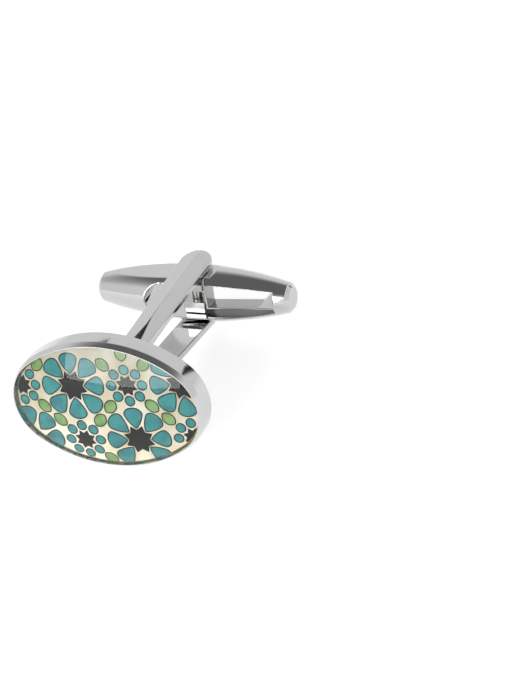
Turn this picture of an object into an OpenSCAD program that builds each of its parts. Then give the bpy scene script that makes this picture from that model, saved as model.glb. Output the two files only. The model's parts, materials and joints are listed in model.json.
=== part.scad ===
// Cufflink with an oval mosaic head, a two-armed fork and a torpedo toggle on a pivot
// It lies on a table on the rim of its head and on the lower arm of its fork

/* [Head] */
// Length of the clear oval of the dome
lens_len = 18; // [17:0.1:19]
// Width of the clear oval of the dome
lens_wid = 12; // [11.4:0.1:12.6]
// Radius of the two end arcs of the oval
end_r = 4.6; // [4.4:0.1:4.8]
// Width of the bright lip round the dome
lip_w = 0.12; // [0.08:0.01:0.2]
// How far the cup stands out from the lip below its bevel
flare = 0.2; // [0.12:0.01:0.3]
// Height of the bevel under the lip
bevel_h = 0.65; // [0.4:0.05:0.8]
// Depth of the cup from the lip to its flat back
cup_h = 2.6; // [2.4:0.05:2.8]
// Thickness of the floor of the cup
floor_t = 0.6; // [0.4:0.05:0.8]
// Size of the small bevel at the back edge of the cup
back_bevel = 0.2; // [0.1:0.02:0.3]
// Gap all round between the cup and the pieces set in it
set_gap = 0.04; // [0.02:0.01:0.06]

/* [Dome and mosaic] */
// Height of the crown of the dome above the lip
crown_h = 1.15; // [0.9:0.05:1.4]
// Height of the dome from its rim to its crown
dome_rise = 1.35; // [1.1:0.05:1.5]
// Size of the bevel round the foot of the dome
dome_bevel = 0.25; // [0.15:0.01:0.3]
// Thickness of the pad under the mosaic plate
pad_t = 0.5; // [0.35:0.05:0.6]
// Thickness of the mosaic plate
plate_t = 0.6; // [0.5:0.05:0.65]
// Depth of the enamel in the mosaic plate
cell_t = 0.3; // [0.2:0.05:0.4]
// Gap all round each enamel cell
cell_gap = 0.015; // [0.01:0.005:0.03]
// Width of the plain border of the mosaic plate
border_w = 0.2; // [0.15:0.05:0.4]
// Distance between neighbouring rosettes
pitch = 5.25; // [5.2:0.05:5.4]
// Place of the upper left large rosette along the head
rosette_x = -3.1; // [-3.4:0.1:-2.8]
// Place of the upper left large rosette across the head
rosette_y = 1.75; // [1.5:0.05:2]
// Radius to the tips of a large star
star_r = 1.38; // [1.2:0.02:1.45]
// Radius to the notches of a large star
star_notch_r = 0.95; // [0.8:0.02:1.05]
// Radius from a large star to the inner tip of its petals
petal_in = 1.2; // [1.15:0.05:1.3]
// Radius from a large star to the outer end of its petals
petal_out = 3.2; // [3.1:0.05:3.25]
// Width of a large petal
petal_w = 1.55; // [1.4:0.05:1.6]
// Radius to the tips of a small star
bud_r = 0.95; // [0.85:0.02:1]
// Radius to the notches of a small star
bud_notch_r = 0.62; // [0.55:0.02:0.7]
// Radius from a small star to the inner end of its petals
bud_petal_in = 1.0; // [0.95:0.05:1.05]
// Radius from a small star to the outer end of its petals
bud_petal_out = 1.95; // [1.85:0.05:2]
// Width of a small petal
bud_petal_w = 0.98; // [0.9:0.02:1]
// Radius from a small star to the middle of a leaf on its diagonal
leaf_mid = 2.8; // [2.75:0.05:2.85]
// Radius from a small star to the middle of the leaf straight above or below it
end_leaf_mid = 3.05; // [3:0.05:3.2]
// Length of a leaf
leaf_len = 1.35; // [1.25:0.05:1.4]
// Width of a leaf
leaf_w = 1.05; // [0.95:0.05:1.1]

/* [Fork] */
// Distance from the lip to the pivot
post_len = 21.8; // [20.8:0.1:22.8]
// Gap between the arms at the pivot
fork_gap = 4.9; // [4.7:0.05:5.1]
// Gap between the arms where they meet the foot
foot_gap = 3.1; // [2.9:0.05:3.3]
// Thickness of an arm along its edges
arm_edge_t = 0.6; // [0.5:0.05:0.7]
// Height of the ridge down the outer face of an arm above its edges
ridge_h = 0.26; // [0.18:0.02:0.32]
// Width of an arm at the pivot
arm_w = 3.1; // [2.9:0.05:3.3]
// Width of an arm at the foot
arm_foot_w = 2.7; // [2.5:0.05:2.9]
// How far the centre of the round arm end lies past the pivot
nose_past = 0.7; // [0.5:0.05:0.9]
// Thickness of the foot of the fork
foot_t = 1.1; // [0.9:0.05:1.3]
// Distance from the lip to the point where the flat on the ridge starts
flat_start = 12.5; // [11.5:0.1:13.5]
// Depth of the flat on the ridge at the foot
flat_h = 0.2; // [0.12:0.01:0.24]
// Depth of the small flat polished on the ridge at the round end of an arm
tip_flat = 0.1; // [0.06:0.01:0.14]

/* [Pivot] */
// Diameter of the pivot pin
pin_d = 1.0; // [0.9:0.05:1.1]
// Depth of the blind bore in each arm that holds the pin
pin_seat = 0.4; // [0.3:0.05:0.45]
// Width across the flats of the square detent cams
cam_w = 2.1; // [1.9:0.05:2.2]
// Height of a detent cam
cam_h = 1.1; // [0.9:0.05:1.2]
// Running gap between the pin and the toggle
run_gap = 0.04; // [0.02:0.01:0.06]
// Gap between the toggle and each arm
side_gap = 0.07; // [0.05:0.01:0.1]

/* [Toggle] */
// Length of the toggle
bar_len = 19.6; // [19:0.1:20.2]
// Diameter of the toggle at its middle
bar_d = 5.4; // [5.2:0.05:5.5]
// Diameter of the flat ends of the toggle
bar_end_d = 2.1; // [1.9:0.05:2.3]
// Width of the bevel round the ends of the toggle
bar_bevel = 0.3; // [0.2:0.05:0.4]
// Height of the slot at the pivot
slot_h = 3.5; // [3.4:0.05:3.6]
// Radius of the long curves of the slot
slot_curve_r = 50; // [45:1:60]
// Wall left between the square end of the slot and the end of the toggle
slot_right_wall = 1.5; // [1.2:0.1:1.8]
// Distance from the round end of the slot to the other end of the toggle
slot_left_wall = 4.3; // [3.8:0.1:4.8]
// Gap between the round end of an arm and the wall of the recess in which it turns
recess_gap = 0.2; // [0.12:0.02:0.3]
// How much steeper than the arms the sloping flats of the toggle are, in degrees
flat_extra = 0.8; // [0.6:0.1:1.2]

/* [Leaf spring] */
// Thickness of the leaf spring
leaf_t = 0.2; // [0.15:0.01:0.22]
// Width of the leaf spring from front to back
leaf_wid = 1.8; // [1.6:0.05:1.9]
// Gap between the leaf spring and what it lies on
leaf_gap = 0.03; // [0.02:0.01:0.05]
// Height of the tongue of the leaf spring
tongue_h = 2.7; // [2.5:0.05:2.8]
// Length of the anchor block that holds the leaf spring
anchor_len = 1.9; // [1.7:0.1:2.1]

/* [Hidden] */

// Overrun of every cut past the face that it opens
over = 0.5;
fine = 96;
medium = 48;

// The oval is drawn with four arcs: two end arcs and two side arcs that meet them smoothly
a = lens_len / 2;
b = lens_wid / 2;
end_x = a - end_r;
side_r = (end_x * end_x + b * b - end_r * end_r) / (2 * (b - end_r));
side_y = side_r - b;
arc_half = atan(end_x / side_y);

// Levels of the pieces in the cup, measured from the lip, the face looks along +Z
floor_z = floor_t - cup_h;
pad_z = floor_z + pad_t;
plate_z = pad_z + plate_t;

// Curves of the dome along and across the head, which drop alike at the rim
dome_len_r = (a * a + dome_rise * dome_rise) / (2 * dome_rise);
dome_wid_r = (b * b + dome_rise * dome_rise) / (2 * dome_rise);

// Places of the rosettes as steps of the pitch: large where the steps add up to an even number
columns = [-1, 0, 1, 2];
rows = [0, 1];
function is_large(column, row) = (column + row) % 2 == 0;
function rosette_at(column, row) = [rosette_x + column * pitch, rosette_y - row * pitch];
large_at = [for (c = columns, r = rows) if (is_large(c, r)) rosette_at(c, r)];
small_at = [for (c = columns, r = rows) if (!is_large(c, r)) rosette_at(c, r)];

// Half outlines of the cells as shares of their length and width, from the inner end outwards
petal_shares = [[0, 0.04], [0.22, 0.3], [0.5, 0.48], [0.72, 0.5], [0.9, 0.36], [1, 0.14]];
bud_shares = [[0, 0.18], [0.2, 0.42], [0.5, 0.5], [0.8, 0.4], [1, 0.16]];
leaf_shares = [[0, 0.1], [0.2, 0.4], [0.5, 0.5], [0.8, 0.4], [1, 0.1]];

// Shortening of the level petals of a large rosette, which leaves room for the small one beside it
petal_trim = max(0, petal_out + bud_petal_out + border_w - pitch);

// Field of the mosaic inside the plain border, and the least room that a cell needs in it
field_a = a - border_w;
field_b = b - border_w;
least_room = leaf_w / 4;

// Fork, measured from the pivot towards the head
back_z = -cup_h;
arm_len = post_len - cup_h - foot_t;
half_gap = fork_gap / 2;
half_foot_gap = foot_gap / 2;
lean = atan((half_gap - half_foot_gap) / arm_len);
ridge_t = arm_edge_t + ridge_h;
roof = atan(ridge_h / (arm_w / 2));
nose_r = arm_w / 2;
nose_z = -post_len - nose_past;
fork_end = nose_z - nose_r;

// Toggle
bar_r = bar_d / 2;
bar_end_r = bar_end_d / 2;
bar_half = bar_len / 2;
bar_sag = bar_r - bar_end_r - bar_bevel;
bar_curve_r = (bar_half * bar_half + bar_sag * bar_sag) / (2 * bar_sag);
seat_y = half_gap - side_gap - tan(lean) * bar_r / 2;
slot_half = slot_h / 2;
slot_right = bar_half - slot_right_wall;
slot_left = bar_half - slot_left_wall;
pin_r = pin_d / 2;
recess_r = nose_past + nose_r + recess_gap;

// Height of the slot at a distance from the pivot, and level of the outer faces of the cams
function slot_at(x) = slot_half - pow(x, 2) / (2 * slot_curve_r);
cam_top = slot_at(cam_w) - run_gap;

// Leaf spring: place of its tongue, place of its anchor and level of its lower face
tongue_x = cam_w / 2 + leaf_gap;
anchor_x = slot_right - anchor_len;
leaf_y = slot_at(slot_right) - leaf_gap;

// The part lies on the back edge of the cup and on the flat at the tip of the lower arm
cup_out = b + lip_w + flare;
edge_z = back_z + back_bevel;
arm_low = half_gap + ridge_t + tan(lean) * (nose_past + nose_r) - tip_flat;
tilt = atan((cup_out - arm_low) / (edge_z - fork_end));
lie_z = cup_out * cos(tilt) - edge_z * sin(tilt);
front_y = (crown_h - dome_wid_r) * cos(tilt) + dome_wid_r;
rear_y = arm_low * sin(tilt) - fork_end * cos(tilt);
lie_y = (front_y - rear_y) / 2;

// Turns a piece from the upright axes of the head into the lying pose
module lying() {
    translate([0, lie_y, lie_z]) rotate([90 - tilt, 0, 0]) children();
}

// Sector that one long arc of the oval fills, with its tip at the centre of the arc
module side_sector(side) {
    polygon([[0, -side * side_y], for (end = [-1, 1])
        [end * 2 * side_r * sin(arc_half), side * (2 * side_r * cos(arc_half) - side_y)]]);
}

// Flat oval that stands out from the clear oval by out
module oval(out) {
    for (side = [-1, 1])
        translate([side * end_x, 0]) circle(r = end_r + out, $fn = fine);
    for (side = [-1, 1]) intersection() {
        translate([0, -side_y]) circle(r = side_r + out, $fn = 2 * fine);
        translate([0, side_y]) circle(r = side_r + out, $fn = 2 * fine);
        side_sector(side);
    }
}

// Solid oval plate from z = low to z = high
module oval_plate(out, low, high) {
    translate([0, 0, low]) linear_extrude(high - low) oval(out);
}

// Cone whose side is one long arc of the oval
module side_cone(side, out_low, out_high, low, high) {
    translate([0, side * side_y, low])
        cylinder(r1 = side_r + out_low, r2 = side_r + out_high, h = high - low, $fn = 2 * fine);
}

// Oval cone from z = low to z = high that stands out by out_low below and out_high above
module oval_cone(out_low, out_high, low, high) {
    for (side = [-1, 1])
        translate([side * end_x, 0, low])
            cylinder(r1 = end_r + out_low, r2 = end_r + out_high, h = high - low, $fn = fine);
    for (side = [-1, 1]) intersection() {
        side_cone(-1, out_low, out_high, low, high);
        side_cone(1, out_low, out_high, low, high);
        translate([0, 0, low]) linear_extrude(high - low) side_sector(side);
    }
}

// Head

// Plated oval cup with a thin lip, a bevel below it and a flat back
module bezel_cup() color("gainsboro") lying() difference() {
    union() {
        oval_cone(lip_w + flare, lip_w, -bevel_h, 0);
        oval_plate(lip_w + flare, edge_z, -bevel_h);
        oval_cone(lip_w + flare - back_bevel, lip_w + flare, back_z, edge_z);
    }
    oval_plate(0, floor_z, over);
}

// Pad that packs the mosaic plate up to its level
module backing_pad() color("dimgray") lying()
    oval_plate(-set_gap, floor_z, pad_z);

// True where the point lies inside the plain border by more than room
function inside(p, room) = pow(p[0] / (field_a - room), 2) + pow(p[1] / (field_b - room), 2) < 1;
function around(centre, radius, angle) = centre + radius * [cos(angle), sin(angle)];

// Cell that lies along a spoke of a rosette, from radius near to radius far
module spoke_cell(centre, angle, near, far, width, shares, grow) {
    span = far - near + 2 * grow;
    breadth = width + 2 * grow;
    half = [for (s = shares) [near - grow + s[0] * span, s[1] * breadth]];
    if (inside(around(centre, (near + far) / 2, angle), least_room))
        translate(centre) rotate(angle)
            polygon(concat(half, [for (i = [len(half) - 1:-1:0]) [half[i][0], -half[i][1]]]));
}

// Eight-pointed star with its points between the petals
module star(centre, tip, notch, grow) {
    if (inside(centre, -least_room)) translate(centre)
        polygon([for (k = [0:15]) ((k % 2 == 0) ? notch + grow : tip + grow)
            * [cos(k * 22.5), sin(k * 22.5)]]);
}

module large_star_cells(grow) {
    for (c = large_at) star(c, star_r, star_notch_r, grow);
}

module small_star_cells(grow) {
    for (c = small_at) star(c, bud_r, bud_notch_r, grow);
}

module large_petal_cells(grow) {
    for (c = large_at, k = [0:7])
        spoke_cell(c, k * 45, petal_in, petal_out - (k % 4 == 0 ? petal_trim : 0),
            petal_w, petal_shares, grow);
}

module small_petal_cells(grow) {
    for (c = small_at, k = [0:7])
        spoke_cell(c, k * 45, bud_petal_in, bud_petal_out, bud_petal_w, bud_shares, grow);
}

module leaf_shapes(grow) {
    for (c = small_at) {
        for (k = [0:3])
            spoke_cell(c, 45 + k * 90, leaf_mid - leaf_len / 2, leaf_mid + leaf_len / 2,
                leaf_w, leaf_shares, grow);
        spoke_cell(c, c[1] > 0 ? 90 : -90, end_leaf_mid - leaf_len / 2,
            end_leaf_mid + leaf_len / 2, leaf_w, leaf_shares, grow);
    }
}

// One layer of enamel cells cut off at the plain border of the plate
module enamel(grow) {
    intersection() {
        translate([0, 0, plate_z - cell_t]) linear_extrude(cell_t + (grow > 0 ? over : 0)) children();
        oval_plate(grow - border_w, plate_z - cell_t, plate_z + over);
    }
}

// Gilt plate with a pocket for each enamel cell
module mosaic_plate() color("wheat") lying() difference() {
    oval_plate(-set_gap, pad_z, plate_z);
    enamel(cell_gap) large_star_cells(cell_gap);
    enamel(cell_gap) small_star_cells(cell_gap);
    enamel(cell_gap) large_petal_cells(cell_gap);
    enamel(cell_gap) small_petal_cells(cell_gap);
    enamel(cell_gap) leaf_shapes(cell_gap);
}

module large_stars() color("#202226") lying() enamel(0) large_star_cells(0);
module small_stars() color("#202226") lying() enamel(0) small_star_cells(0);
module large_petals() color("cadetblue") lying() enamel(0) large_petal_cells(0);
module small_petals() color("cadetblue") lying() enamel(0) small_petal_cells(0);
module leaf_cells() color("darkseagreen") lying() enamel(0) leaf_shapes(0);

// Cone at the bevel of the dome, carried on by past beyond both its ends
module dome_foot(past) {
    oval_cone(-set_gap - dome_bevel - past, past - set_gap, plate_z - past, plate_z + dome_bevel + past);
}

// Bead of clear cement in the corner under the bevel of the dome
module dome_adhesive() color("goldenrod") lying() difference() {
    oval_plate(-set_gap, plate_z, plate_z + dome_bevel);
    dome_foot(over);
}

// Clear dome, curved alike along and across, with a bevelled foot
module clear_dome() color([0.9, 0.95, 0.97, 0.35]) lying() intersection() {
    union() {
        oval_plate(-set_gap, plate_z + dome_bevel, crown_h + over);
        dome_foot(0);
    }
    translate([0, 0, crown_h - dome_wid_r]) rotate([0, 90, 0])
        rotate_extrude($fn = 2 * fine) intersection() {
            translate([dome_wid_r - dome_len_r, 0]) circle(r = dome_len_r, $fn = 8 * fine);
            translate([0, -a]) square([dome_wid_r, 2 * a]);
        }
}

// Fork

// Side outline of the fork in [height across the gap, distance from the lip], uncut outside
module fork_side() {
    reach = nose_past + nose_r;
    top = fork_gap + ridge_t;
    bend_r = half_foot_gap * cos(lean);
    difference() {
        translate([-top, fork_end]) square([2 * top, back_z - fork_end]);
        polygon([[-half_gap - (reach + over) * tan(lean), fork_end - over],
            [half_gap + (reach + over) * tan(lean), fork_end - over],
            [half_foot_gap + bend_r * tan(lean), back_z - foot_t - bend_r],
            [-half_foot_gap - bend_r * tan(lean), back_z - foot_t - bend_r]]);
        translate([0, back_z - foot_t - bend_r]) circle(r = bend_r, $fn = medium);
    }
}

// Plan outline of the fork, tapered to the foot and round at the pivot end
module fork_plan() {
    translate([0, nose_z]) circle(r = nose_r, $fn = fine);
    polygon([[-nose_r, nose_z], [nose_r, nose_z], [arm_foot_w / 2, back_z], [-arm_foot_w / 2, back_z]]);
}

// Places children on the ridge of the upper arm with +Z along the arm towards the head
module on_ridge() {
    translate([0, half_gap + ridge_t, -post_len]) rotate([lean, 0, 0]) children();
}

// Room above the two slopes that meet in the ridge
module over_roof() {
    polygon([[0, 0], [2 * arm_w, -2 * arm_w * tan(roof)], [2 * arm_w, arm_w],
        [-2 * arm_w, arm_w], [-2 * arm_w, -2 * arm_w * tan(roof)]]);
}

module fork() color("silver") lying() difference() {
    intersection() {
        rotate([90, 0, 90]) translate([0, 0, -arm_w]) linear_extrude(2 * arm_w) fork_side();
        rotate([90, 0, 0]) translate([0, 0, -fork_gap]) linear_extrude(2 * fork_gap) fork_plan();
    }
    for (up = [0, 1]) mirror([0, up, 0]) {
        on_ridge() {
            translate([0, 0, -2 * arm_w]) linear_extrude(post_len + arm_w) over_roof();
            translate([-arm_w, 0, post_len - flat_start]) rotate([atan(flat_h / (flat_start - cup_h)), 0, 0])
                cube([2 * arm_w, arm_w, flat_start + over]);
        }
        translate([-arm_w, arm_low, fork_end]) rotate([-tilt, 0, 0]) translate([0, 0, -arm_w])
            cube([2 * arm_w, arm_w, 3 * arm_w]);
        rotate([-90, 0, 0]) translate([0, post_len, 0]) cylinder(r = pin_r, h = half_gap + pin_seat, $fn = medium);
    }
}

// Pivot

// Places children at the pivot with +Z along the pin, from the lower arm to the upper arm
module at_pivot() {
    translate([0, 0, -post_len]) rotate([-90, 0, 0]) children();
}

// Plain pin held at both ends in the arms
module pivot_pin() color("lightgray") lying() at_pivot() {
    pin_half = half_gap + pin_seat;
    translate([0, 0, -pin_half]) cylinder(r = pin_r, h = 2 * pin_half, $fn = medium);
}

// Square block pressed on the pin, which the leaf spring bears on
module detent_cam(low) {
    lying() at_pivot() difference() {
        translate([-cam_w / 2, -cam_w / 2, low]) cube([cam_w, cam_w, cam_h]);
        translate([0, 0, low - over]) cylinder(r = pin_r, h = cam_h + 2 * over, $fn = medium);
    }
}

module upper_detent_cam() color("whitesmoke") detent_cam(cam_top - cam_h);
module lower_detent_cam() color("whitesmoke") detent_cam(-cam_top);

// Toggle

// Half outline of the turned bar as [radius, distance along the bar]
module bar_outline() {
    difference() {
        intersection() {
            translate([bar_r - bar_curve_r, 0]) circle(r = bar_curve_r, $fn = 4 * fine);
            translate([0, -bar_half]) square([bar_r, bar_len]);
        }
        for (end = [-1, 1]) polygon([[bar_end_r, end * bar_half], [bar_end_r, end * (bar_half + over)],
            [bar_r, end * (bar_half + over)], [bar_r, end * (bar_half - bar_bevel)],
            [bar_end_r + bar_bevel, end * (bar_half - bar_bevel)]]);
    }
}

// Outline of the slot as [distance along the bar, height], square on the right and round on the left
module slot_outline() {
    left_r = slot_half - pow(slot_left - slot_half, 2) / (2 * slot_curve_r);
    intersection() {
        translate([0, slot_half - slot_curve_r]) circle(r = slot_curve_r, $fn = 4 * fine);
        translate([0, slot_curve_r - slot_half]) circle(r = slot_curve_r, $fn = 4 * fine);
        union() {
            translate([left_r - slot_left, -slot_half]) square([slot_right + slot_left - left_r, slot_h]);
            translate([left_r - slot_left, 0]) circle(r = left_r, $fn = medium);
        }
    }
}

// Room for the arms above and below the bar: a round recess in which the arm end turns,
// and a sloping flat over the left half, which folds in between the arms
module arm_room() {
    for (up = [0, 1]) mirror([0, 0, up]) {
        translate([0, 0, seat_y]) cylinder(r = recess_r, h = bar_r, $fn = fine);
        translate([0, -bar_r - over, seat_y]) rotate([0, -lean - flat_extra, 0])
            mirror([1, 0, 0]) cube([bar_half + over, bar_d + 2 * over, bar_r]);
    }
}

module toggle_bar() color("silver") lying() at_pivot() difference() {
    rotate([0, 90, 0]) rotate_extrude($fn = fine) bar_outline();
    arm_room();
    rotate([90, 0, 0]) translate([0, 0, -bar_d]) linear_extrude(2 * bar_d) slot_outline();
    translate([0, 0, -bar_r]) cylinder(r = pin_r + run_gap, h = bar_d, $fn = medium);
}

// Bent strip: it lies along the lower wall of the slot and turns up into a tongue beside the cams
module leaf_spring() color("gray") lying() at_pivot()
    rotate([90, 0, 0]) translate([0, 0, -leaf_wid / 2]) linear_extrude(leaf_wid) {
        polygon([[tongue_x, tongue_h / 2], [tongue_x + leaf_t, tongue_h / 2],
            [tongue_x + leaf_t, leaf_t - tongue_h / 2], [anchor_x, leaf_t - leaf_y],
            [slot_right - leaf_gap, leaf_t - leaf_y], [slot_right - leaf_gap, -leaf_y],
            [anchor_x, -leaf_y], [tongue_x, -tongue_h / 2]]);
    }

// Wedge that holds the end of the leaf spring in the square end of the slot
module spring_anchor() color("dimgray") lying() at_pivot()
    rotate([90, 0, 0]) translate([0, 0, -leaf_wid / 2]) linear_extrude(leaf_wid)
        polygon([[anchor_x, leaf_t - leaf_y], [slot_right - leaf_gap, leaf_t - leaf_y],
            [slot_right - leaf_gap, leaf_y]]);

bezel_cup();
backing_pad();
mosaic_plate();
large_stars();
small_stars();
large_petals();
small_petals();
leaf_cells();
dome_adhesive();
clear_dome();
fork();
pivot_pin();
upper_detent_cam();
lower_detent_cam();
toggle_bar();
leaf_spring();
spring_anchor();
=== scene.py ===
"""Oval cufflink with a star mosaic under a clear dome, on a two-armed post with a toggle."""

import json
import math

import bpy
import numpy as np
from bpy.props import FloatProperty, FloatVectorProperty, PointerProperty
from mathutils import Matrix, Vector, geometry


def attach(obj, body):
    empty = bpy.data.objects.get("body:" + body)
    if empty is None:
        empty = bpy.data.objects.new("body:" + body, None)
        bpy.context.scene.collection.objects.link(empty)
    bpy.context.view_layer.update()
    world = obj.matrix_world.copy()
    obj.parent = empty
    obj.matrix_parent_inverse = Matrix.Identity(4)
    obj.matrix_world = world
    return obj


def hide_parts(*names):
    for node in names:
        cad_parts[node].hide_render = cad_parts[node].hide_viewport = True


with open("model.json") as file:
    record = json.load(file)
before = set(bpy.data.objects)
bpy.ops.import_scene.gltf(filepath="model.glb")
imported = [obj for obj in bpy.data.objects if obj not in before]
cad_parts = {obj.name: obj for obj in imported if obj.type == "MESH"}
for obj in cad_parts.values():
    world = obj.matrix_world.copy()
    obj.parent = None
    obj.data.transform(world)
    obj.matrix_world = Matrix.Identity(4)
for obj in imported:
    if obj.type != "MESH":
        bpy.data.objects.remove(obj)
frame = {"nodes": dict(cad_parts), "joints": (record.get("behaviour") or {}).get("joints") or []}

bl_info = {
    "name": "Mosaic cufflink",
    "version": (1, 0, 0),
    "blender": (4, 5, 0),
    "location": "3D View > Sidebar > Cufflink",
    "description": "Dresses an oval mosaic cufflink with a forked post and a swinging toggle",
    "category": "Object",
}

MM = 0.001

# Axes of the cufflink: along the oval, along the pin, and out of the decorated face
JOINT = frame["joints"][0]
PIVOT = np.array(JOINT["pos_m"])
ALONG = np.array([1.0, 0.0, 0.0])
PIN_WAY = np.array(JOINT["axis"])
FACING = np.cross(ALONG, PIN_WAY)
AXES = np.array([ALONG, PIN_WAY, FACING])

# How far the cufflink leans back as it lies, as the angle between its pin and the upright
LEAN_BACK = math.atan2(PIN_WAY[1], PIN_WAY[2])

# Two faces that meet at less than this turn are shaded as one
SMOOTH_TURN = math.radians(35)

WHITE = (1.0, 1.0, 1.0, 1.0)

# Share of a metal's brightness that is left where it has dulled, and of the card's in a pale fibre
TARNISH = 0.93
PALE_FIBRE = 1.4

# Way towards which the cement carries a painted reflection of the cup's inner wall, and how far along
# it that painted reflection starts and is full
REFLECTION_WAY = (0.6, 0.0, 0.8)
REFLECTION_START, REFLECTION_FULL = 4.0 * MM, 5.2 * MM

# Steps in the arc at a rounded corner, and between two points of a smooth curve
CORNER_STEPS = 6
CURVE_STEPS = 4
# Most of an edge that the arc at one of its ends may take up
ARC_SHARE = 0.48
# Least square of the sum of two edge normals, which keeps sharp corners from running out far
SHARPEST = 0.9

# Times that a mesh is pulled onto its distance field, how small a step measures the slope there
# as a share of the mesh's grain, and the flattest slope that counts
PULLS = 8
SLOPE_STEP = 0.02
FLATTEST = 0.2

# Steps in an eased edge, and the share of its width within which two corners are one
EASED_STEPS = 3
WELD_SHARE = 0.02


def node_points(name):
    """Corners of a CAD node in the axes of the cufflink, measured from the pivot."""
    mesh = frame["nodes"][name].data
    points = np.empty(len(mesh.vertices) * 3)
    mesh.vertices.foreach_get("co", points)
    return (points.reshape(-1, 3) - PIVOT) @ AXES.T


def span(name):
    """Lowest and highest values of a CAD node along the three axes of the cufflink."""
    points = node_points(name)
    return points.min(0), points.max(0)


# Reach of the CAD nodes that the pieces are fitted to
CUP = span("bezel_cup")
DOME = span("clear_dome")
PLATE = span("mosaic_plate")
STARS = span("large_stars")
BEAD = span("dome_adhesive")
FORK = span("fork")
BAR = span("toggle_bar")
PIN = span("pivot_pin")

# The lip of the cup is the level from which the head is measured
POST_LEN = CUP[1][2]
LIP = PIVOT + POST_LEN * FACING


def place(points):
    """Points measured from the lip of the cup, in the axes of the cufflink, as places in the frame."""
    return LIP + np.asarray(points) @ AXES


def put(name, data):
    """Object with the given mesh, light or camera, in the scene."""
    made = bpy.data.objects.new(name, data)
    bpy.context.scene.collection.objects.link(made)
    return made


def linear(hex_colour):
    """Linear red, green and blue of an sRGB hex colour."""
    shares = [int(hex_colour[i:i + 2], 16) / 255 for i in (0, 2, 4)]
    return [s / 12.92 if s <= 0.04045 else ((s + 0.055) / 1.055) ** 2.4 for s in shares]


def length(name, description, metres):
    """Property that holds a length."""
    return FloatProperty(name=name, description=description, default=metres,
                         unit="LENGTH", subtype="DISTANCE", precision=5)


def angle(name, description, radians):
    """Property that holds an angle."""
    return FloatProperty(name=name, description=description, default=radians,
                         unit="ROTATION", subtype="ANGLE")


def colour(name, description, hex_colour):
    """Property that holds a colour, given as sRGB hex."""
    return FloatVectorProperty(name=name, description=description, default=linear(hex_colour),
                               subtype="COLOR", size=3, min=0, max=1)


class HeadSizes(bpy.types.PropertyGroup):
    """Sizes of the cup and the dome."""

    set_gap: length("Set gap", "Gap all round between the cup and what is set in it", 0.04 * MM)
    end_r: length("End radius", "Radius of the two end arcs of the oval", 4.6 * MM)
    lip_w: length("Lip width", "Width of the bright lip round the dome", 0.12 * MM)
    bevel_h: length("Bevel height", "Height of the bevel under the lip", 0.65 * MM)
    floor_t: length("Floor", "Thickness of the floor of the cup", 0.6 * MM)
    back_bevel: length("Back bevel", "Size of the bevel at the back edge of the cup", 0.2 * MM)
    dome_rise: length("Dome rise", "Height of the dome from its rim to its crown", 1.35 * MM)
    dome_bevel: length("Dome bevel", "Size of the bevel round the foot of the dome",
                       BEAD[1][2] - BEAD[0][2])
    lip_round: length("Lip rounding", "Radius at the polished edges of the lip", 0.035 * MM)
    wall_round: length("Wall rounding", "Radius where the bevel meets the wall", 0.3 * MM)
    heel_round: length("Heel rounding", "Radius where the wall meets the back bevel", 0.105 * MM)
    back_round: length("Back rounding", "Radius where the back bevel meets the back", 0.07 * MM)


class MosaicSizes(bpy.types.PropertyGroup):
    """Sizes of the star mosaic."""

    pitch: length("Pitch", "Distance between neighbouring rosettes", 5.25 * MM)
    first_x: length("First rosette along", "Place of the upper left large rosette", -2.92 * MM)
    first_y: length("First rosette across", "Place of the upper left large rosette", 1.74 * MM)
    turn: angle("Turn", "Turn of the whole pattern in its oval", math.radians(4.2))
    border_w: length("Border", "Width of the plain border of the plate", 0.2 * MM)
    cell_gap: length("Cell gap", "Gap all round each enamel cell", 0.015 * MM)
    line_w: length("Line width", "Width of the dark line round each cell", 0.1 * MM)
    spread: length("Spread", "How far the enamel has run over the edge of its pocket", 0.05 * MM)
    star_r: length("Star radius", "Radius to the tips of a large star", 1.38 * MM)
    star_notch_r: length("Star notch radius", "Radius to the notches of a large star", 0.95 * MM)
    petal_in: length("Petal start", "Radius to the inner tip of a large petal", 1.2 * MM)
    petal_out: length("Petal end", "Radius to the outer end of a large petal", 3.2 * MM)
    petal_w: length("Petal width", "Width of a large petal", 1.55 * MM)
    bud_r: length("Small star radius", "Radius to the tips of a small star", 0.95 * MM)
    bud_notch_r: length("Small notch radius", "Radius to the notches of a small star", 0.62 * MM)
    bud_petal_in: length("Small petal start", "Radius to the inner end of a small petal", 1.0 * MM)
    bud_petal_out: length("Small petal end", "Radius to the outer end of a small petal", 1.95 * MM)
    bud_petal_w: length("Small petal width", "Width of a small petal", 0.98 * MM)
    leaf_mid: length("Leaf place", "Radius from a small star to the middle of a leaf", 2.8 * MM)
    end_leaf_mid: length("End leaf place", "Radius to the leaf straight above or below", 3.05 * MM)
    leaf_len: length("Leaf length", "Length of a leaf", 1.35 * MM)
    leaf_w: length("Leaf width", "Width of a leaf", 1.05 * MM)


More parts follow.
